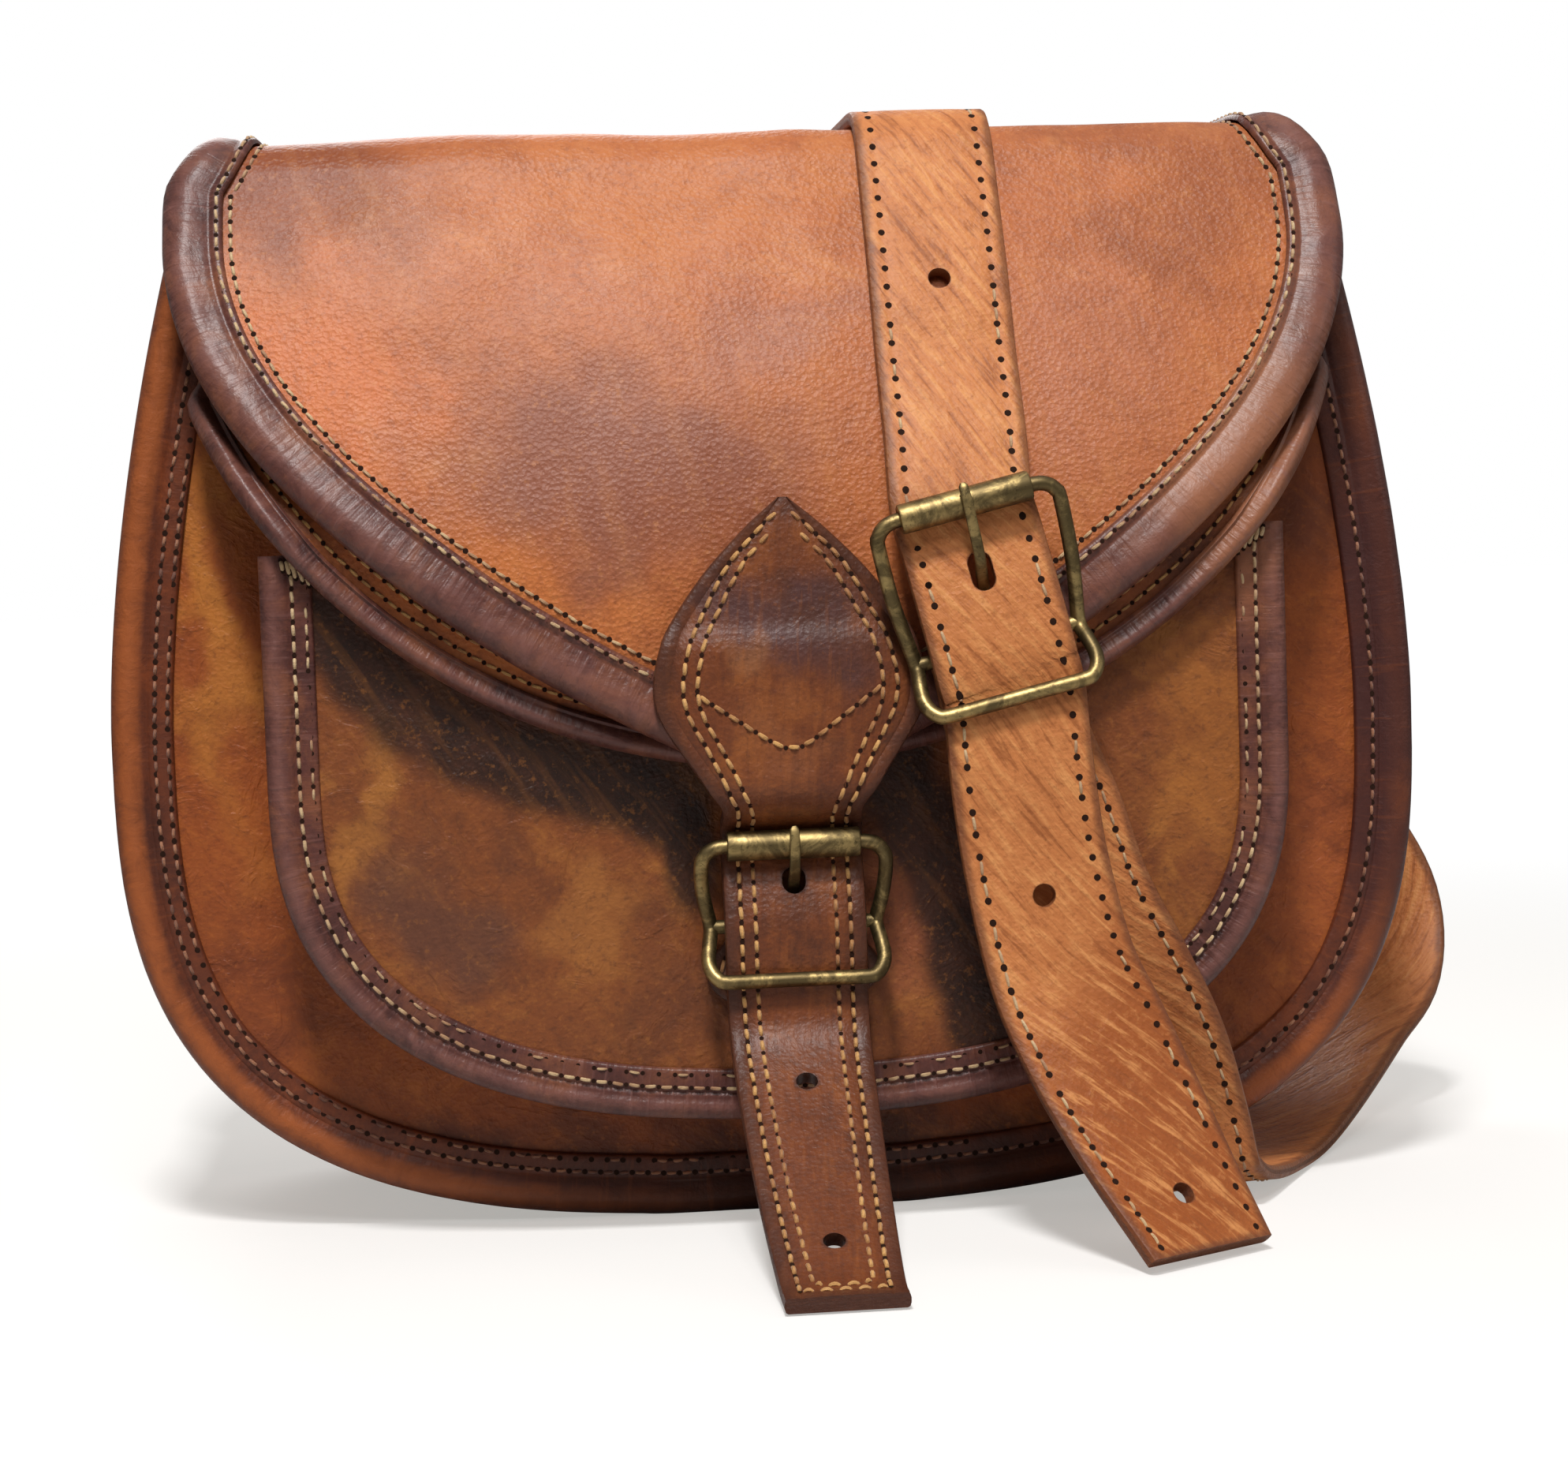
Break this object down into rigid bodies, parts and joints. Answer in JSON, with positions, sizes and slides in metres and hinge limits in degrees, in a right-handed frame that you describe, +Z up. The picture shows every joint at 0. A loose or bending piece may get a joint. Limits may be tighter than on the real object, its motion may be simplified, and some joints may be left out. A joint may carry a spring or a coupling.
{
  "type": "saddle bag",
  "caption": "Small leather saddle bag with a pointed buckled flap, a front pocket under its own round flap, and a buckled shoulder strap draped over and under it",
  "frame": {"origin": "middle of the flat under the bag, on the surface that the bag stands on", "axes": "+X is the viewer's right when looking at the flap, -Y is the front, +Z is up"},
  "size_m": [0.2678, 0.1918, 0.2022],
  "materials": {
    "body_leather": "smooth tan leather, mottled and burnished",
    "flap_leather": "orange-brown leather with dark burnished clouds and a soft sheen",
    "binding_leather": "dark purple-brown rolled leather, rubbed on its crest",
    "patch_leather": "dark brown leather",
    "strap_leather": "lighter tan leather with needle holes along both edges",
    "lining_cloth": "plain cotton cloth",
    "aged_brass": "antique brass, darkened in its corners"
  },
  "bodies": {
    "bag": {"front_panel": "body_leather", "back_panel": "body_leather", "gusset": "body_leather", "lining": "lining_cloth", "front_binding": "binding_leather", "back_binding": "binding_leather", "flap_hem": "flap_leather", "pocket_panel": "flap_leather", "pocket_gusset": "body_leather", "pocket_binding": "binding_leather", "buckle_tab": "patch_leather", "closure_buckle_frame": "aged_brass", "long_strap_rear": "strap_leather", "short_strap_rear": "strap_leather", "strap_anchor_left": "patch_leather", "strap_anchor_right": "patch_leather"},
    "flap": {"main_flap": "flap_leather", "flap_binding": "binding_leather", "closure_strap": "strap_leather", "long_strap_front": "strap_leather"},
    "pocket_flap": {"pocket_flap": "flap_leather", "pocket_flap_binding": "binding_leather"},
    "short_strap": {"short_strap_front": "strap_leather", "shoulder_buckle_frame": "aged_brass"},
    "closure_roller": {"closure_buckle_roller": "aged_brass"},
    "closure_prong": {"closure_buckle_prong": "aged_brass"},
    "shoulder_roller": {"shoulder_buckle_roller": "aged_brass"},
    "shoulder_prong": {"shoulder_buckle_prong": "aged_brass"}
  },
  "joints": [
    {"name": "flap_hinge", "type": "hinge", "parent": "bag", "child": "flap", "pos_m": [0, 0.0385, 0.1945], "axis": [-1, 0, 0], "range_deg": [0, 110], "deforming": ["closure_strap", "long_strap_front"]},
    {"name": "pocket_flap_hinge", "type": "hinge", "parent": "bag", "child": "pocket_flap", "pos_m": [0, -0.0392, 0.16], "axis": [-1, 0, 0], "range_deg": [0, 70]},
    {"name": "short_strap_drop", "type": "hinge", "parent": "bag", "child": "short_strap", "pos_m": [0.071, -0.06, 0.008], "axis": [1, 0, 0], "range_deg": [0, 70], "deforming": ["short_strap_front"]},
    {"name": "closure_prong_hinge", "type": "hinge", "parent": "bag", "child": "closure_prong", "pos_m": [0, -0.0654, 0.056], "axis": [1, 0, 0], "range_deg": [0, 70]},
    {"name": "shoulder_prong_hinge", "type": "hinge", "parent": "short_strap", "child": "shoulder_prong", "pos_m": [0.036, -0.07785, 0.1045], "axis": [0.9744, 0, 0.225], "range_deg": [0, 50]},
    {"name": "closure_roller_spin", "type": "hinge", "parent": "bag", "child": "closure_roller", "pos_m": [0, -0.0704, 0.0706], "axis": [1, 0, 0], "continuous": true},
    {"name": "shoulder_roller_spin", "type": "hinge", "parent": "short_strap", "child": "shoulder_roller", "pos_m": [0.03033, -0.08285, 0.12905], "axis": [0.9744, 0, 0.225], "continuous": true}
  ],
  "couplings": [
    {"joint": "pocket_flap_hinge", "follows": "flap_hinge", "ratio": 0.6},
    {"joint": "short_strap_drop", "follows": "flap_hinge", "ratio": 0.6},
    {"joint": "closure_prong_hinge", "follows": "flap_hinge", "ratio": 0.6},
    {"joint": "shoulder_prong_hinge", "follows": "flap_hinge", "ratio": 0.4}
  ]
}
